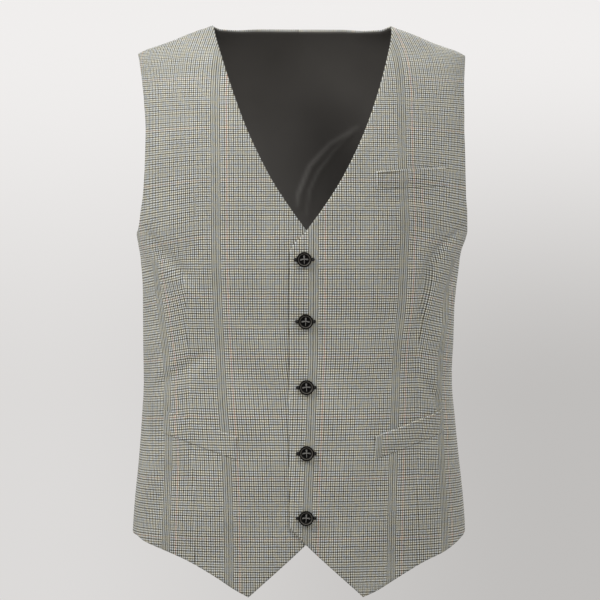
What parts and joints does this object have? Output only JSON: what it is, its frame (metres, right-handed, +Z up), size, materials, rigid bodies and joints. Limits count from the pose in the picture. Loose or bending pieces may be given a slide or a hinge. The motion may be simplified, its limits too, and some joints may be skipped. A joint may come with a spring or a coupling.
{
  "type": "suit waistcoat",
  "caption": "Single-breasted V-neck suit waistcoat in small check cloth, buttoned, with breast and hip welt pockets, pointed front hem and dark lining, in worn hollow form.",
  "frame": {"origin": "middle of the wearer's shoulders, halfway between the shoulder seams and at the height of their middle, in the plane of those seams", "axes": "+X to the wearer's left, +Y to the wearer's back, +Z up; the buttons face -Y"},
  "size_m": [0.399, 0.2293, 0.6709],
  "materials": {
    "check_cloth": "matte small check weave",
    "lining": "satin",
    "button": "semi-gloss"
  },
  "bodies": {
    "root": {"front_left": "check_cloth", "front_right": "check_cloth", "back_left": "check_cloth", "back_right": "check_cloth", "back_lining": "lining", "breast_welt": "check_cloth", "hip_welt_left": "check_cloth", "hip_welt_right": "check_cloth", "button_1": "button", "button_2": "button", "button_3": "button", "button_4": "button", "button_5": "button"}
  },
  "joints": []
}
